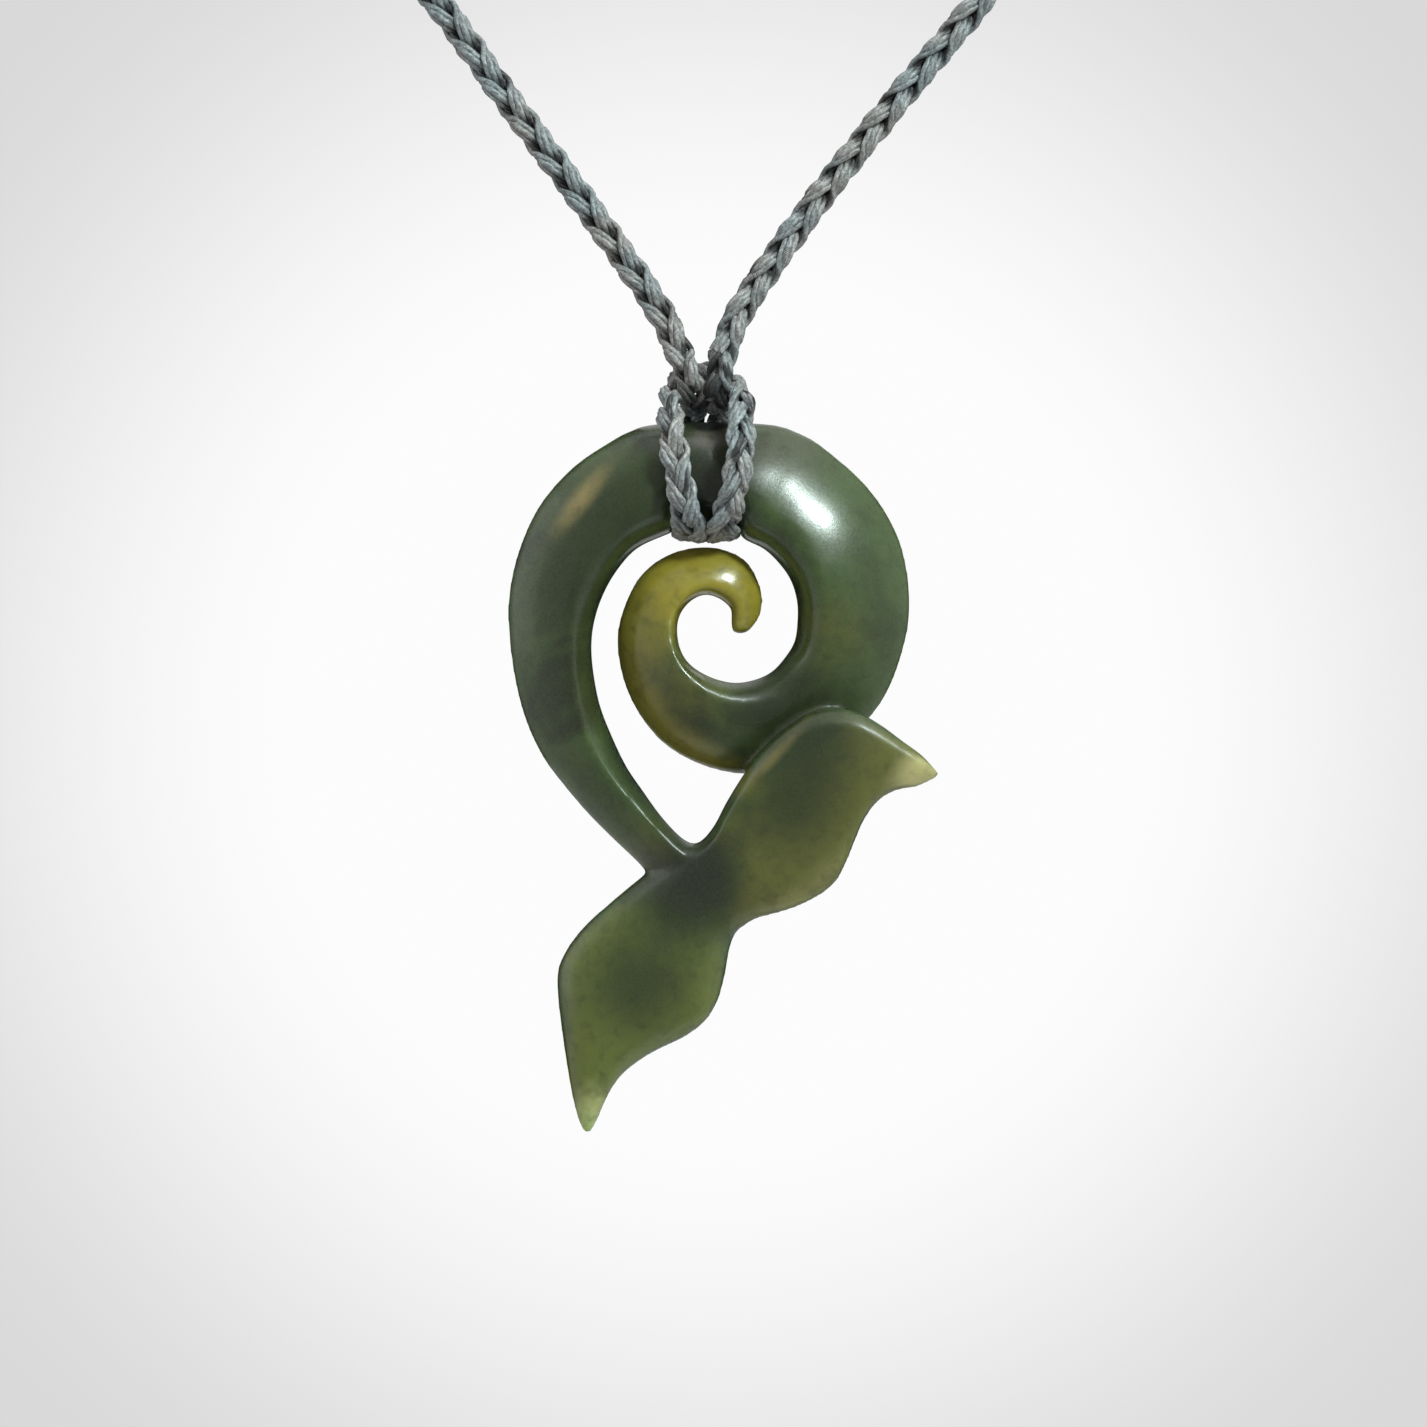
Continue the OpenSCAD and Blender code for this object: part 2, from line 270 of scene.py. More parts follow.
def spaced(curve, step):
    """The curve again, with its points a step apart."""
    far = far_along_curve(curve)
    count = round(far[-1] / step)
    points, i = [], 0
    for k in range(count + 1):
        want = far[-1] * k / count
        while i < len(far) - 2 and far[i + 1] < want:
            i += 1
        f = (want - far[i]) / (far[i + 1] - far[i])
        points.append([a + (b - a) * f for a, b in zip(curve[i], curve[i + 1])])
    return points


def plait(curve, side, lay, turn=0.0, twist=0.0):
    """The threads of a plait along the curve, whose rows are x, y, z, width and thickness. It
    starts with its width along side, a turn into its lay, and is twisted over its length. Its
    frames say where its middle is, and how a point's place across and through it counts."""
    centres = [Vector(row[:3]) for row in curve]
    far = far_along_curve(curve)
    frames = []
    threads = [[] for _ in range(strands * len(threads_in_strand))]
    last = len(curve) - 1
    for i, row in enumerate(curve):
        ahead = (centres[min(i + 1, last)] - centres[max(i - 1, 0)]).normalized()
        side = (side - side.dot(ahead) * ahead).normalized()
        through = ahead.cross(side)
        turned = twist * far[i] / far[-1]
        wide = side * math.cos(turned) + through * math.sin(turned)
        thick = through * math.cos(turned) - side * math.sin(turned)
        room_wide = (row[3] / 2 - thread_radius) / (plait_wide / 2 - thread_radius)
        room_thick = (row[4] / 2 - thread_radius) / (plait_thick / 2 - thread_radius)
        across = wide / (room_wide * half_across)
        frames.append((centres[i], across, thick / (room_thick * half_through)))
        for n in range(strands):
            angle = turn + math.tau * (far[i] / lay + n / strands)
            x = swing_across * math.sin(angle)
            y = swing_through * math.sin(2 * angle)
            # The strand's flat side faces out, and rolls over at each edge of the plait
            roll = math.tanh(roll_over * math.cos(angle)) / math.tanh(roll_over)
            facing = math.pi / 2 * (1 - roll)
            c, s = math.cos(facing), math.sin(facing)
            for m, (u, v) in enumerate(threads_in_strand):
                threads[n * len(threads_in_strand) + m].append(
                    centres[i] + (x + u * c + v * s) * room_wide * wide
                    + (y - u * s + v * c) * room_thick * thick)
    return threads, frames, side, turn + math.tau * far[-1] / lay


def twine(name, threads, frames, tuck_shading=None):
    """One mesh of the threads as round tubes. Its UV map says how far along its thread in mm a
    point is, and how far round it, with 2 added for each thread before it. Its attribute
    proud_shade is 1 at the plait's face and less in its valleys, and less again in the stretches
    given painted shade; the finish darkens the thread by it as painted shade."""
    drawn = bpy.data.curves.new(name, "CURVE")
    drawn.dimensions = "3D"
    drawn.bevel_depth = thread_radius * MM
    drawn.bevel_resolution = (thread_sides - 4) // 2
    drawn.use_fill_caps = True
    for points in threads:
        spline = drawn.splines.new("POLY")
        spline.points.add(len(points) - 1)
        for dot, point in zip(spline.points, points):
            dot.co = (*((point + bar) * MM), 1)
    line = bpy.data.objects.new(name + "_line", drawn)
    bpy.context.scene.collection.objects.link(line)
    mesh = bpy.data.meshes.new_from_object(line.evaluated_get(
        bpy.context.evaluated_depsgraph_get()))
    bpy.data.objects.remove(line)
    mesh.name = name
    per_thread = len(mesh.vertices) // len(threads)
    length = far_along_curve(threads[0])[-1]
    for loop, spot in zip(mesh.loops, mesh.uv_layers[0].data):
        which_one = loop.vertex_index // per_thread
        spot.uv = (spot.uv.x * length, spot.uv.y + 2 * which_one)
    proud_shade = mesh.attributes.new("proud_shade", "FLOAT", "POINT")
    for dot, spot in zip(mesh.vertices, proud_shade.data):
        ring = min(dot.index % per_thread // thread_sides, len(frames) - 1)
        middle, across, through = frames[ring]
        away = dot.co / MM - bar - middle
        spot.value = math.hypot(away.dot(across), away.dot(through))
        if tuck_shading:
            spot.value *= 1 - tuck_shading[ring]
    for face in mesh.polygons:
        face.use_smooth = True
    mesh.materials.clear()
    mesh.materials.append(waxed_thread)
    piece = bpy.data.objects.new(name, mesh)
    bpy.context.scene.collection.objects.link(piece)
    return piece


# The top of the hitch leans to the left: how much for each millimetre, and from what height
lean = -0.1
lean_from = 5.1

# The right leg stands a little further out than the left one, below this height, and further
# forward, where the stone's thicker shoulder swings up behind it
right_leg_out = 0.25
right_leg_forward = 0.35
right_leg_below = 2
leg_front = -4

left_half = [(-row[0], *row[1:]) for row in reversed(hitch_half[:-1])]
right_half = []
for x, y, z, *widths in hitch_half:
    if y < leg_front and z < right_leg_below:
        x, y = x + right_leg_out, y - right_leg_forward
    right_half.append((x, y, z, *widths))
hitch_rows = [(row[0] + lean * max(row[2] - lean_from, 0), *row[1:])
              for row in right_half + left_half]
hitch_curve = spaced(smooth(hitch_rows, curve_steps), hitch_step)
hitch_threads, hitch_frames, left_side, left_turn = plait(hitch_curve, Vector((1, 0, 0)), leg_lay)
hitch_far = far_along_curve(hitch_curve)
# Painted shade darkens the cord behind the legs, near its ends and at the arch's middle
hitch_tuck_shading = []
for far in hitch_far:
    from_end = min(far, hitch_far[-1] - far)
    under_arch = abs(far - hitch_far[-1] / 2) < arch_shade_reach
    shaded = tuck_shade * min(max(from_end - tuck_shade_from, 0), 1)
    hitch_tuck_shading.append(shaded if from_end < tuck_shade_to or under_arch else 0)
hitch = twine("plaited_hitch", hitch_threads, hitch_frames, hitch_tuck_shading)
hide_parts("cord_hitch")
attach(hitch, "cord")


# The neck cord. The same plait goes from the hitch's left side round the neck and back to its
# right side. The photo shows its lowest 28 mm, and the rest takes the plain way round.
neck_lay = 10.5
neck_step = 0.47
cord_d = 2.3

# x, y, z, in mm from the middle of the ring's top
neck_route = [
    (-1.95, -2.4, 8.6), (-3.8, -2.1, 12.4), (-9.1, -1.5, 20), (-14.8, -1, 27.7),
    (-20.3, -0.5, 35.3), (-31, 0, 48.5), (-42, 0, 62.5), (-52, 0, 77), (-60, 0, 93),
    (-64.5, 0, 110), (-64.5, 0, 126), (-59, 0, 140), (-48, 0, 151), (-33, 0, 157.5),
    (-16.5, 0, 159.6), (0, 0, 160), (16.5, 0, 159.6), (33, 0, 157.5), (48, 0, 151),
    (59, 0, 140), (64.5, 0, 126), (64.5, 0, 110), (60, 0, 93), (52, 0, 77), (42, 0, 62.5),
    (31, 0, 48.5), (20.6, -0.5, 35.3), (14.3, -1, 27.7), (8.2, -1.5, 20), (2.9, -2.1, 12.4),
    (1.25, -2.4, 8.6),
]

neck_rows = [(*row, cord_d, cord_d) for row in neck_route]
neck_curve = spaced(smooth(neck_rows, curve_steps), neck_step)
neck_length = far_along_curve(neck_curve)[-1]
# The plait closes on itself, so its turns in all come out as a whole number of strands
strand_turns = round(strands * (left_turn / math.tau + neck_length / neck_lay))
neck_lay = neck_length / (strand_turns / strands - left_turn / math.tau)
_, _, end_side, _ = plait(neck_curve, left_side, neck_lay)
end_ahead = (Vector(neck_curve[-1][:3]) - Vector(neck_curve[-2][:3])).normalized()
end_through = end_ahead.cross(end_side)
# It is twisted a little over its length, so that its width lies along the hitch's where they meet
start_side = Vector((1, 0, 0))
untwist = math.atan2(start_side.dot(end_through), start_side.dot(end_side))
neck_threads, neck_frames, _, _ = plait(neck_curve, left_side, neck_lay, left_turn, untwist)
neck_cord = twine("plaited_neck_cord", neck_threads, neck_frames)


# The joining knot. Behind the neck the cord's two ends meet in a barrel of wraps, which slides
# to set the length. It is wound from the same plaited cord.
knot_turns = 9
wrap_pitch = 2.4
wrap_radius = 2.65
wrap_thick = 2.2
knot_height = 160
wrap_steps = 24
# At each end a quarter of a turn more dips into the barrel
dip_steps = 6
dip = 4

winding = []
for k in range(-dip_steps, knot_turns * wrap_steps + dip_steps + 1):
    turns = min(max(k / wrap_steps, 0), knot_turns)
    past = abs(k / wrap_steps - turns)
    x = wrap_pitch * (turns - knot_turns / 2) * (1 - past / knot_turns)
    reach = wrap_radius - dip * past**2
    angle = math.tau * k / wrap_steps
    y, z = reach * math.sin(angle), knot_height + reach * math.cos(angle)
    winding.append((x, y, z, cord_d, wrap_thick))
winding = spaced(winding, neck_step)
knot_threads, knot_frames, _, _ = plait(winding, Vector((1, 0, 0)), leg_lay)
knot = twine("wrapped_knot", knot_threads, knot_frames)
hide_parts("joining_knot")
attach(knot, "cord")

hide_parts("neck_cord")
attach(neck_cord, "cord")
path = [(Vector(row[:3]) + bar) * MM for row in neck_curve[::2]]
if len(neck_curve) % 2 == 0:
    path.append((Vector(neck_curve[-1][:3]) + bar) * MM)


# The stone. One piece of nephrite, a green jade, is sawn to the outline, ground to shape and
# polished all over. The koru's spiral opens into the ring, whose arm runs down into the flukes.

# How a face is cut: how round it is, 1 if it slopes straight down from an off-centre crest, how
# high the foot of its bevel stands as a share of the crest, and how the bevel rises from there
curl_cut = (0.5, 1, 0.35, 0.7)
tail_cut = (0.62, 0, 0.6, 0.9)
# A straight slope's powers, and how far off the middle a crest gives one, as a share
slope_bend = 1.2
slope_round = 0.65
straight_from = 0.2
# Half an edge's thickness, and how near two points are one, in mm
edge_half = 0.02
same_place = 0.0001
# How many steps go to the rim and the rest of a face, and to each station
rim_steps = 8
face_steps = 20
station_steps = 6

# inner x, inner z, outer x, outer z, half, mid, crease, rim: stations across the spiral and
# the arm, in mm from the middle of the ring's top. half is half the thickness, mid is how far
# back its middle lies, rim is how far across its crest lies, and crease is 1 for a sharp one.
curl_stations = [
    (2.2, -12.15, 2.7, -12.2, 0.4, 0, 0, 0.3),
    (1.9, -11.9, 3.3, -11.9, 0.9, 0, 0, 0.3),
    (1.85, -11.05, 4.1, -10.6, 1.2, 0, 0, 0.3),
    (1.85, -10.35, 4.1, -8.85, 1.45, 0, 0, 0.28),
    (1.2, -9.7, 3.15, -6.9, 1.7, 0, 0, 0.25),
    (0.6, -9.4, 1.65, -5.95, 1.85, 0, 0, 0.23),
    (-0.1, -9.25, -0.4, -5.65, 2.0, 0, 0, 0.2),
    (-1.0, -9.6, -2.9, -6.25, 2.2, 0, 0, 0.17),
    (-1.75, -10.35, -5.05, -7.95, 2.4, 0, 0, 0.14),
    (-2.15, -11.3, -6.4, -10.85, 2.6, 0, 0, 0.12),
    (-2.15, -12.5, -6.65, -13.3, 2.8, 0, 0, 0.12),
    (-1.85, -13.6, -6.1, -16.0, 3.0, 0, 0, 0.12),
    (-1.25, -14.45, -4.85, -18.5, 3.15, 0, 0, 0.14),
    (-0.35, -15.1, -2.95, -20.6, 3.2, 0.1, 0, 0.17),
    (0.8, -15.6, -0.3, -22.05, 3.2, 0.3, 0, 0.2),
    (2.2, -15.85, 2.7, -22.7, 3.1, 0.6, 0, 0.22),
    (3.65, -15.6, 5.85, -22.3, 3.0, 0.9, 0, 0.24),
    (4.9, -15.0, 8.85, -20.9, 2.95, 1.0, 0, 0.25),
    (5.9, -13.9, 11.4, -19.3, 3.1, 0.9, 0, 0.26),
    (6.6, -12.7, 13.25, -17.05, 3.4, 0.6, 0, 0.26),
    (6.8, -11.1, 14.45, -14.2, 3.7, 0.3, 0, 0.26),
    (6.75, -9.7, 15.15, -10.95, 3.9, 0.1, 0, 0.26),
    (6.3, -8.2, 15.0, -7.6, 4.0, 0, 0, 0.26),
    (5.45, -6.95, 14.05, -4.3, 4.0, 0, 0, 0.26),
    (4.3, -5.85, 11.9, -1.05, 3.92, 0, 0, 0.28),
    (3.05, -5.25, 8.7, 1.8, 3.81, 0, 0, 0.293),
    (2.6, -4.9, 7.0, 2.8, 3.74, 0, 0, 0.305),
    (2.25, -4.3, 5.3, 3.4, 3.66, 0, 0, 0.32),
    (1.2, -3.95, 2.6, 3.62, 3.6, 0, 0, 0.385),
    (0, -3.9, 0, 3.65, 3.6, 0, 0, 0.5),
    (-1.2, -3.95, -2.4, 3.6, 3.6, 0, 0, 0.5),
    (-2.2, -4.2, -4.6, 3.35, 3.65, 0, 0, 0.48),
    (-2.6, -4.65, -5.7, 2.95, 3.7, 0, 0, 0.45),
    (-3.15, -4.85, -6.8, 2.4, 3.75, 0, 0, 0.41),
    (-5.25, -5.85, -9.8, 0.4, 3.7, 0, 0.1, 0.35),
    (-6.8, -7.6, -12.35, -2.4, 3.6, 0, 0.3, 0.3),
    (-7.85, -9.55, -13.95, -5.75, 3.5, 0, 0.5, 0.26),
    (-8.45, -11.55, -14.75, -9.3, 3.4, 0, 0.75, 0.23),
    (-8.6, -13.4, -14.7, -12.8, 3.3, 0, 0.9, 0.22),
    (-8.4, -15.45, -14.15, -16.35, 3.2, 0, 1, 0.24),
    (-7.95, -17.6, -13.35, -19.05, 3.1, 0, 1, 0.27),
    (-7.1, -19.8, -12.15, -21.5, 3.0, 0, 1, 0.31),
    (-6.0, -22.1, -10.55, -23.65, 2.9, 0, 1, 0.29),
    (-4.75, -23.95, -8.75, -25.75, 2.8, 0, 1, 0.26),
    (-3.5, -25.7, -6.85, -27.65, 2.7, -0.1, 1, 0.22),
    (-2.35, -27.0, -5.3, -29.1, 2.6, -0.2, 1, 0.22),
    (-1.5, -27.7, -4.5, -30.0, 2.5, -0.3, 1, 0.24),
    (-0.55, -28.1, -3.75, -31.05, 2.3, -0.4, 1, 0.28),
    (0.45, -29.1, -2.5, -31.8, 2.0, -0.5, 0.5, 0.3),
]

# The same across the flukes, from the lower tip to the upper one
tail_stations = [
    (-9.15, -49.5, -8.65, -49.5, 0.3, 0, 0, 0.4),
    (-9.6, -48.4, -8.1, -48.5, 0.65, 0, 0, 0.4),
    (-10.05, -46.6, -7.6, -47.3, 1.05, 0, 0, 0.4),
    (-10.45, -44.25, -7.05, -46.2, 1.45, 0, 0, 0.4),
    (-10.8, -41.85, -6.15, -45.05, 1.75, 0, 0, 0.4),
    (-11.1, -39.3, -4.8, -44.0, 2.0, 0, 0, 0.4),
    (-11.1, -37.3, -3.4, -43.2, 2.15, 0, 0, 0.4),
    (-10.35, -35.6, -1.7, -42.4, 2.3, 0, 0, 0.4),
    (-9.0, -33.9, -0.15, -41.25, 2.4, 0, 0, 0.4),
    (-7.35, -32.45, 0.75, -39.9, 2.5, 0, 0.1, 0.4),
    (-5.8, -31.15, 1.2, -38.55, 2.55, 0, 0.2, 0.35),
    (-4.35, -30.0, 1.5, -37.15, 2.6, -0.1, 0.3, 0.3),
    (-2.85, -28.95, 1.65, -36.15, 2.6, -0.2, 0.6, 0.2),
    (-1.45, -28.15, 1.9, -35.2, 2.55, -0.4, 0.9, 0.14),
    (-0.35, -27.65, 2.25, -34.5, 2.45, -0.6, 1, 0.12),
    (0.6, -26.5, 2.85, -34.0, 2.3, -0.9, 1, 0.11),
    (1.4, -24.95, 3.7, -33.5, 2.15, -1.2, 1, 0.1),
    (2.35, -23.35, 4.95, -33.15, 2.05, -1.5, 1, 0.1),
    (3.5, -21.65, 6.7, -32.6, 2.0, -1.8, 1, 0.1),
    (4.8, -20.25, 8.3, -31.8, 1.95, -2.0, 1, 0.1),
    (6.2, -19.1, 9.65, -30.7, 1.9, -2.1, 1, 0.1),
    (7.9, -18.1, 10.45, -29.15, 1.85, -2.2, 1, 0.1),
    (9.7, -17.8, 11.05, -27.65, 1.75, -2.3, 1, 0.11),
    (11.4, -18.15, 11.7, -26.15, 1.65, -2.4, 1, 0.13),
    (13.0, -19.05, 12.65, -24.8, 1.45, -2.4, 1, 0.16),
    (14.55, -20.2, 13.95, -23.95, 1.2, -2.4, 0.9, 0.2),
    (16.05, -21.3, 15.65, -23.6, 0.85, -2.4, 0.5, 0.25),
    (17.25, -22.6, 17.1, -22.95, 0.3, -2.4, 0, 0.3),
]


def face_height(u, rim, crease, power, straight, foot, rise):
    """How high the face stands at u across it, as a share of half the thickness. The further
    its crest lies off the middle, the straighter the face slopes down from there."""
    if u >= rim:
        s = (u - rim) / (1 - rim)
        share = straight * min(max((0.5 - rim) / straight_from, 0), 1)
        domed = max(1 - s**2, 0)**power
        return (1 - share) * domed + share * max(1 - s**slope_bend, 0)**slope_round
    even = max(1 - (1 - u / rim)**2, 0)**power
    rimmed = foot + (1 - foot) * (u / rim)**rise
    return (1 - crease) * even + crease * rimmed


def station_ring(row, cut):
    """The points round the stone at one station: its front, then its back."""
    x0, z0, x1, z1, half, mid, crease, rim = row
    front, back = [], []
    for k in range(rim_steps + face_steps + 1):
        if k <= rim_steps:
            u = rim * (1 - math.cos(math.pi / 2 * k / rim_steps))
        else:
            u = rim + (1 - rim) * math.sin(math.pi / 2 * (k - rim_steps) / face_steps)
        x, z = x0 + u * (x1 - x0), z0 + u * (z1 - z0)
        high = half * face_height(u, rim, crease, *cut) + edge_half
        front.append((x, mid - high, z))
        back.append((x, mid + high, z))
    return front + back[::-1]


def ground(stations, cut):
    """A closed skin through the stations: a sheet, rolled up and moved point by point."""
    rings = [station_ring(row, cut) for row in smooth(stations, station_steps)]
    around, length = len(rings[0]), len(rings)
    skin = bmesh.new()
    bmesh.ops.create_grid(skin, x_segments=length - 1, y_segments=around, size=0.5)
    for dot in skin.verts:
        i = round((dot.co.x + 0.5) * (length - 1))
        k = round((dot.co.y + 0.5) * around) % around
        dot.co = rings[i][k]
    bmesh.ops.remove_doubles(skin, verts=skin.verts, dist=same_place)
    bmesh.ops.holes_fill(skin, edges=skin.edges, sides=0)
    bmesh.ops.recalc_face_normals(skin, faces=skin.faces)
    mesh = bpy.data.meshes.new("ground")
    skin.to_mesh(mesh)
    skin.free()
    return mesh


# The ring and the flukes grow together into one skin of small squares, this many mm across
voxel = 0.2

shape = bmesh.new()
shape.from_mesh(ground(curl_stations, curl_cut))
shape.from_mesh(ground(tail_stations, tail_cut))
rough = bpy.data.meshes.new("rough_stone")
shape.to_mesh(rough)
shape.free()
blank = bpy.data.objects.new("rough_stone", rough)
bpy.context.scene.collection.objects.link(blank)
remesh = blank.modifiers.new("remesh", "REMESH")
remesh.mode = "VOXEL"
remesh.voxel_size = voxel
sawn = blank.evaluated_get(bpy.context.evaluated_depsgraph_get())
mesh = bpy.data.meshes.new_from_object(sawn)
bpy.data.objects.remove(blank)

# The polish rounds all edges a little, and the stone is brought back to its full size
polish_rounds = 6
carved = bmesh.new()
carved.from_mesh(mesh)
for _ in range(polish_rounds):
    bmesh.ops.smooth_vert(carved, verts=carved.verts, factor=0.5,
                          use_axis_x=True, use_axis_y=True, use_axis_z=True)
low = Vector([min(dot.co[i] for dot in carved.verts) for i in range(3)])
high = Vector([max(dot.co[i] for dot in carved.verts) for i in range(3)])
cad_low, cad_high = (Vector(corner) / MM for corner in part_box("jade_stone"))
for dot in carved.verts:
    for i in range(3):
        share = (dot.co[i] - low[i]) / (high[i] - low[i])
        dot.co[i] = (cad_low[i] + share * (cad_high[i] - cad_low[i])) * MM

# How thin the stone is at each point, which decides how much light comes through: 1 for no
# thickness at all, and less the further it is straight through to the other side, in mm
light_reach = 4
thickest = 8
under_skin = 0.00005
thin_rounds = 3
thin = carved.verts.layers.float.new("thin")
carved.normal_update()
bulk = BVHTree.FromBMesh(carved)
for dot in carved.verts:
    inward = -dot.normal
    hit = bulk.ray_cast(dot.co + inward * under_skin, inward)
    through = hit[3] / MM if hit[3] is not None else thickest
    dot[thin] = math.exp(-through / light_reach)
for _ in range(thin_rounds):
    smoothed = {dot: (dot[thin] + sum(e.other_vert(dot)[thin] for e in dot.link_edges))
                / (1 + len(dot.link_edges)) for dot in carved.verts}
    for dot, value in smoothed.items():
        dot[thin] = value
for face in carved.faces:
    face.smooth = True
mesh = bpy.data.meshes.new("carved_stone")
carved.to_mesh(mesh)
carved.free()
stone = bpy.data.objects.new("carved_stone", mesh)
bpy.context.scene.collection.objects.link(stone)
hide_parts("jade_stone")
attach(stone, "pendant")

# The stone's colours: its greens and browns, a brown painted sheen, painted shade for the arm's
# inner wall, painted shade, shadow and a grey painted reflection on the stone under the cord, and
# the olives and pale greens of a painted glow where it is thin
deep_green = (0.030, 0.041, 0.016, 1)
mid_green = (0.066, 0.105, 0.034, 1)
wall_shade_green = (0.022, 0.036, 0.018, 1)
brown_skin_and_sheen = (0.330, 0.260, 0.100, 1)
olive_brown = (0.130, 0.130, 0.034, 1)
olive_rim_light = (0.290, 0.260, 0.045, 1)
smoky_and_shade = (0.026, 0.030, 0.021, 1)
cord_shadow_dark = (0.018, 0.019, 0.016, 1)
grey_sheen = (0.105, 0.098, 0.078, 1)
olive = (0.340, 0.285, 0.034, 1)
olive_glow_edge = (0.450, 0.410, 0.130, 1)
olive_glow = (0.150, 0.154, 0.036, 1)
leaf_glow_green = (0.140, 0.205, 0.042, 1)
leaf_glow_edge = (0.42, 0.56, 0.22, 1)
pale_glow_edge = (0.58, 0.53, 0.25, 1)

nephrite = bpy.data.materials.new("nephrite")
finish = Finish(nephrite)
place = finish.node("ShaderNodeTexCoord", None, (), 3)
from_bar = {"Vector": place, "Location": -bar, "Scale": (1 / MM, 1 / MM, 1 / MM)}
stone_mm = finish.node("ShaderNodeMapping", {"vector_type": "POINT"}, from_bar)
flat = finish.node("ShaderNodeVectorMath", {"operation": "MULTIPLY"}, [stone_mm, (1, 0, 1)])
thinness = finish.node("ShaderNodeAttribute", {"attribute_name": "thin"}, (), 2)


def patch(x, z, reach, soft=0.6, long=1.0, rise=0.0):
    """1 within a patch of the stone, round a place on its front, and 0 outside it. A long patch
    is that many times longer than wide, and its length rises to the right by rise degrees."""
    inputs = {"Vector": flat, "Location": (x, 0, z), "Rotation": (0, -math.radians(rise), 0),
              "Scale": (long, 1, 1)}
    from_middle = finish.node("ShaderNodeMapping", {"vector_type": "TEXTURE"}, inputs)
    away = finish.node("ShaderNodeVectorMath", {"operation": "LENGTH"}, [from_middle], 1)
    return 1 - finish.ramp(away, reach * (1 - soft), reach * (1 + soft))


# The body of the stone is cloudy, with veins and a fine grain
clouds = finish.noise(stone_mm, 0.13, 4, 0.55, 0.6)
veins = finish.noise(stone_mm, 0.5, 4, 0.6, 1.0)
mottle = finish.noise(stone_mm, 1.1, 1.5, 0.5, 0.5)
grain = finish.noise(stone_mm, 6.0, 3, 0.6)
body = finish.blend(finish.ramp(clouds + 0.25 * veins, 0.4, 0.68), deep_green, mid_green)
# Painted shade: the inner half of the ring's left side is darkened
side_shade = patch(-5.8, -2.2, 2.8, 0.8) + patch(-8.6, -5.4, 2.6, 0.8) + patch(-10.6, -9, 2.6, 0.8)
body = finish.blend(side_shade.sum("MINIMUM", 1.0) * 0.8, body, deep_green)
# A brown streak on the ring's left, brightened as a painted sheen along its crest
body = finish.blend(patch(-9.3, -2.2, 0.6, 0.95, 4, 52) * 0.8, body, brown_skin_and_sheen)
body = finish.blend(patch(12.6, -9.5, 4.5, 0.7) * 0.5, body, mid_green)
body = finish.blend(patch(9.3, -12.3, 2.4, 0.8) * veins, body, olive_brown)

# Painted glow: where the flukes are thin they are lightened for the light that comes through,
# greener in the lower one
lower_fluke = patch(-5.5, -40, 9.5, 0.3)
upper_flukes = patch(2.5, -29.5, 7, 0.5) + patch(11.5, -23.5, 6, 0.5)
flukes = (lower_fluke + upper_flukes).sum("MINIMUM", 1.0)
glow = thinness + 0.1 * veins - 0.05 + 0.07 * lower_fluke + 0.1 * patch(16.4, -22.5, 2.2, 0.9)
body = finish.blend(finish.ramp(glow, 0.27, 0.47) * flukes, body, olive_glow)
body = finish.blend(finish.ramp(glow, 0.2, 0.5) * lower_fluke * 0.4, body, leaf_glow_green)

# The koru is olive, and browner where it comes round below
body = finish.blend(patch(-3.6, -15.8, 4.6, 0.6) * (0.1 + veins), body, olive_brown)
koru = patch(-5.8, -10.8, 3.6) * 0.6 + patch(-0.2, -7.2, 4) + patch(3, -9.8, 3)
koru = koru.sum("MINIMUM", 1.0) * patch(-0.2, -12.3, 7.4, 0.06)
body = finish.blend(koru * (0.75 + 0.5 * veins), body, olive)
# Painted glow: the thin edges of the koru are lightened to a pale olive
body = finish.blend(koru * finish.ramp(thinness, 0.5, 0.8), body, olive_glow_edge)

# Stains in the stone, and patches of painted shade, shadow, reflection and light: colour,
# strength, then the patch's x, z, reach, softness, length and rise
stains_and_painted_light = [
    # Painted shade on the bar between the legs
    (smoky_and_shade, 0.85, 0.4, -0.6, 3.6, 0.6, 1, 0),
    # Painted reflection: a grey band on the bar's top between the legs
    (grey_sheen, 1, 0.1, 2.35, 0.8, 0.5, 1.8, 0),
    # Painted shadow of the cord on the bar's top
    (cord_shadow_dark, 1, 0.1, 4.2, 1.35, 0.15, 1.4, 0),
    (deep_green, 0.9, -1.2, -31.4, 3.6, 0.7, 1, 0),
    (smoky_and_shade, 0.75, -0.9, -30.6, 2.8, 0.8, 1, 0),
    (deep_green, 0.7, -5, -38.5, 3.2, 0.8, 1, 0),
    (deep_green, 0.8, 6.6, -24.5, 3.4, 0.8, 1, 0),
    (deep_green, 0.8, 8.2, -20, 3.2, 0.8, 1, 0),
    # Painted light along the koru's lower-left rim
    (olive_rim_light, 0.9, -4.6, -17.4, 1.1, 0.9, 3, -62),
    (olive_rim_light, 0.9, -1.2, -21, 1.1, 0.9, 3.5, -30),
    (brown_skin_and_sheen, 0.5, 5.5, -20.9, 0.35, 0.9, 8, 48),
    # Painted sheen: grey on the ring's upper right
    (grey_sheen, 0.5, 6.3, 1.6, 2.4, 0.8, 1, 0),
    (deep_green, 0.8, 5.5, -17.5, 3, 0.7, 1, 0),
]
for colour, strength, *where in stains_and_painted_light:
    body = finish.blend(patch(*where) * strength, body, colour)
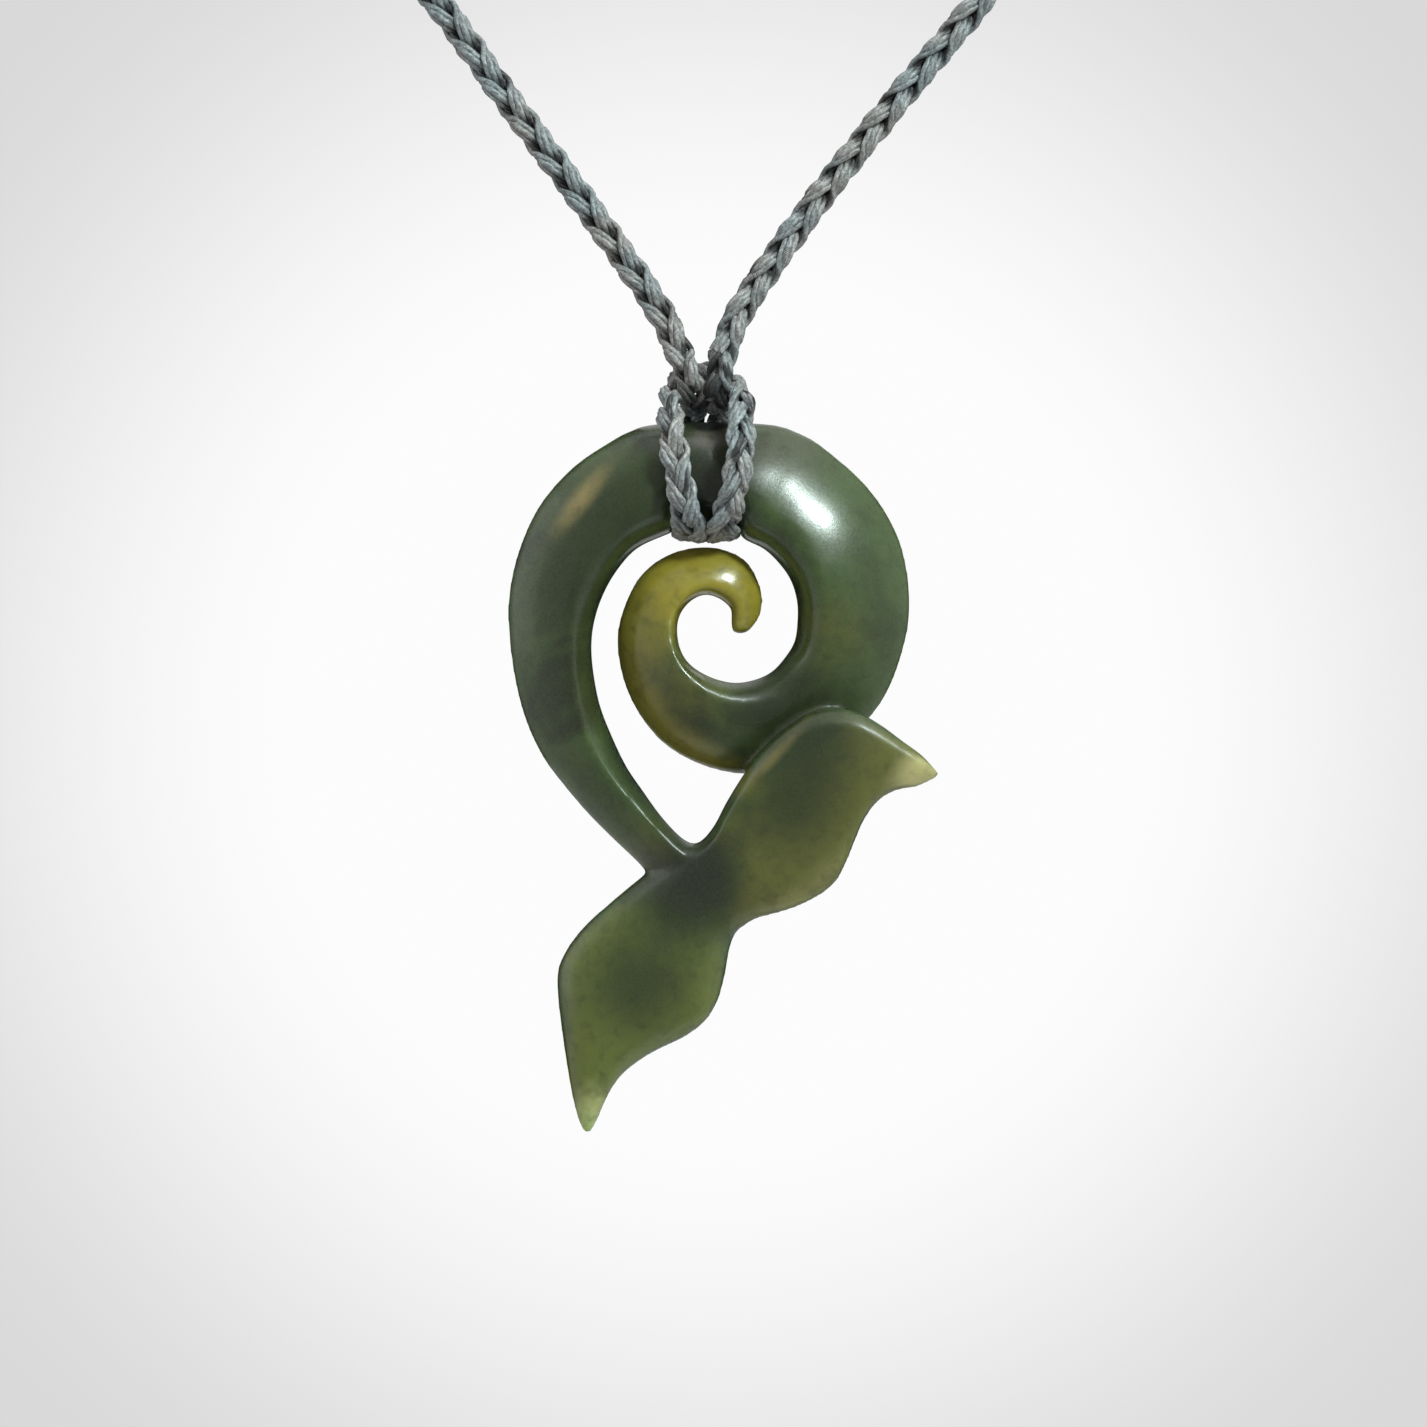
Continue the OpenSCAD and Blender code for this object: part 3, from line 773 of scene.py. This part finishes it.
# Painted shade: the arm's inner wall is darkened
arm_wall_shade = patch(-7.2, -18.2, 0.9, 0.9, 5, -72) + patch(-4.3, -24.3, 0.9, 0.9, 5, -58)
body = finish.blend(arm_wall_shade * 0.75, body, wall_shade_green)

# The flukes' tips are lightened as a pale painted glow where they are thin, and the whole
# stone is lightly mottled
low_tip = patch(-9, -48, 6, 0.9)
tips = patch(16.4, -22.5, 5, 0.9) + low_tip
body = finish.blend(finish.ramp(glow, 0.53, 0.72) * flukes * (0.3 + 0.7 * tips), body, pale_glow_edge)
body = finish.blend(finish.ramp(glow, 0.5, 0.8) * low_tip * 0.5, body, leaf_glow_edge)
body = finish.blend(finish.ramp(mottle, 0.42, 0.85) * 0.4, body, deep_green)

# The polish is duller inside the koru and in the creases, and a thin waxy coat takes the grain
dull = patch(3.4, -15.3, 3.6, 0.1) + patch(12.5, -19.6, 4, 0.6) * 0.7 + patch(9.75, -17, 1.4, 0.6)
dull = dull + patch(-1.6, -13.8, 2.6, 0.3) * finish.ramp(veins, 0.4, 0.55)
dull = dull + patch(-3.4, -27, 1.4, 0.5, 3, -48) * 0.6
coat = 0.32 + 0.36 * finish.ramp(grain, 0.35, 0.65)
bump = {"Strength": 0.25, "Distance": 0.00002, "Height": grain}
satin = finish.node("ShaderNodeBump", None, bump)
finish.surface(
    {"IOR": 1.6, "Specular IOR Level": 0.25, "Coat Roughness": 0.32,
     "Subsurface Weight": 0.6, "Subsurface Radius": (1.0, 1.3, 0.4), "Subsurface Scale": 0.0012},
    {"Base Color": body, "Roughness": 0.15 + 0.04 * veins + 0.3 * dull,
     "Coat Weight": coat, "Normal": satin})
mesh.materials.append(nephrite)


# The floor and the light. A pale disc lies below the pendant, out of the photo's view. A long
# soft box in front gives the ring's highlight, two weak ones light the left side and the back,
# and a white room lights everything from all round.
floor_place = (0, 0.3, -0.45)
floor_radius = 0.45

disc = bmesh.new()
bmesh.ops.create_circle(disc, cap_ends=True, segments=96, radius=floor_radius)
bmesh.ops.translate(disc, verts=disc.verts, vec=floor_place)
floor_mesh = bpy.data.meshes.new("floor")
disc.to_mesh(floor_mesh)
disc.free()
floor = bpy.data.objects.new("floor", floor_mesh)
bpy.context.scene.collection.objects.link(floor)
pale_floor = bpy.data.materials.new("pale_floor")
finish = Finish(pale_floor)
finish.surface({"Base Color": (0.8, 0.8, 0.8, 1), "Roughness": 0.7}, {})
floor_mesh.materials.append(pale_floor)


# The soft boxes face this place in the stone
lit_place = Vector((0, 0, -0.185))


def soft_box(name, place, size, power, tint=(1, 1, 1), roll=0.0):
    """A soft box that faces the pendant. Its long side is turned up from level by the roll."""
    lamp = bpy.data.lights.new(name, "AREA")
    lamp.shape = "RECTANGLE"
    lamp.size, lamp.size_y = size
    lamp.energy = power
    lamp.color = tint
    box = bpy.data.objects.new(name, lamp)
    box.location = place
    facing = (lit_place - Vector(place)).to_track_quat("-Z", "Y")
    box.rotation_euler = (facing @ Quaternion((0, 0, 1), math.radians(roll))).to_euler()
    bpy.context.scene.collection.objects.link(box)


cool_white = (0.86, 1, 0.98)
soft_box("key_light", (0.277, -0.355, 0.148), (0.13, 0.055), 2.4, cool_white, -50)
soft_box("fill_light", (-0.6, -0.05, 0), (0.4, 0.5), 0.4)
soft_box("back_light", (0.1, 0.6, 0.3), (0.5, 0.5), 0.6)

# What the camera sees behind the pendant: white that goes to grey in the photo's corners, from
# one distance off the middle to the other
middle_white = 0.973
corner_white = 0.694
white_out_to = 0.0667
grey_from = 0.163
# How bright the room is: all of it, more at its sides and more overhead, and dark behind
wall_light = 0.3
side_light = 0.35
overhead_light = 0.8

world = bpy.data.worlds.new("white_room")
bpy.context.scene.world = world
finish = Finish(world)
towards = finish.node("ShaderNodeTexCoord", None, (), 0)
off_centre = finish.node("ShaderNodeVectorMath", {"operation": "MULTIPLY"}, [towards, (1, 0, 1)])
off_centre = finish.node("ShaderNodeVectorMath", {"operation": "LENGTH"}, [off_centre], 1)
corner = finish.ramp(off_centre, white_out_to, grey_from)
backdrop = finish.blend(corner, grey(middle_white), grey(corner_white))
across = finish.node("ShaderNodeSeparateXYZ", None, [towards], 0).sum("ABSOLUTE")
behind = finish.node("ShaderNodeSeparateXYZ", None, [towards], 1)
height = finish.node("ShaderNodeSeparateXYZ", None, [towards], 2)
walls = wall_light + side_light * finish.ramp(across, 0.5, 1)
room = walls + overhead_light * finish.ramp(height, 0.45, 1)
room = room * (1 - finish.ramp(behind, 0.2, 0.8))
seen = finish.node("ShaderNodeLightPath", None, (), 0)
light = finish.blend(seen, room, backdrop)
shown = finish.node("ShaderNodeBackground", None, [light, 1.0])
out = finish.nodes.new("ShaderNodeOutputWorld")
finish.links.new(shown.socket, out.inputs[0])

bpy.context.scene.view_settings.view_transform = "Standard"
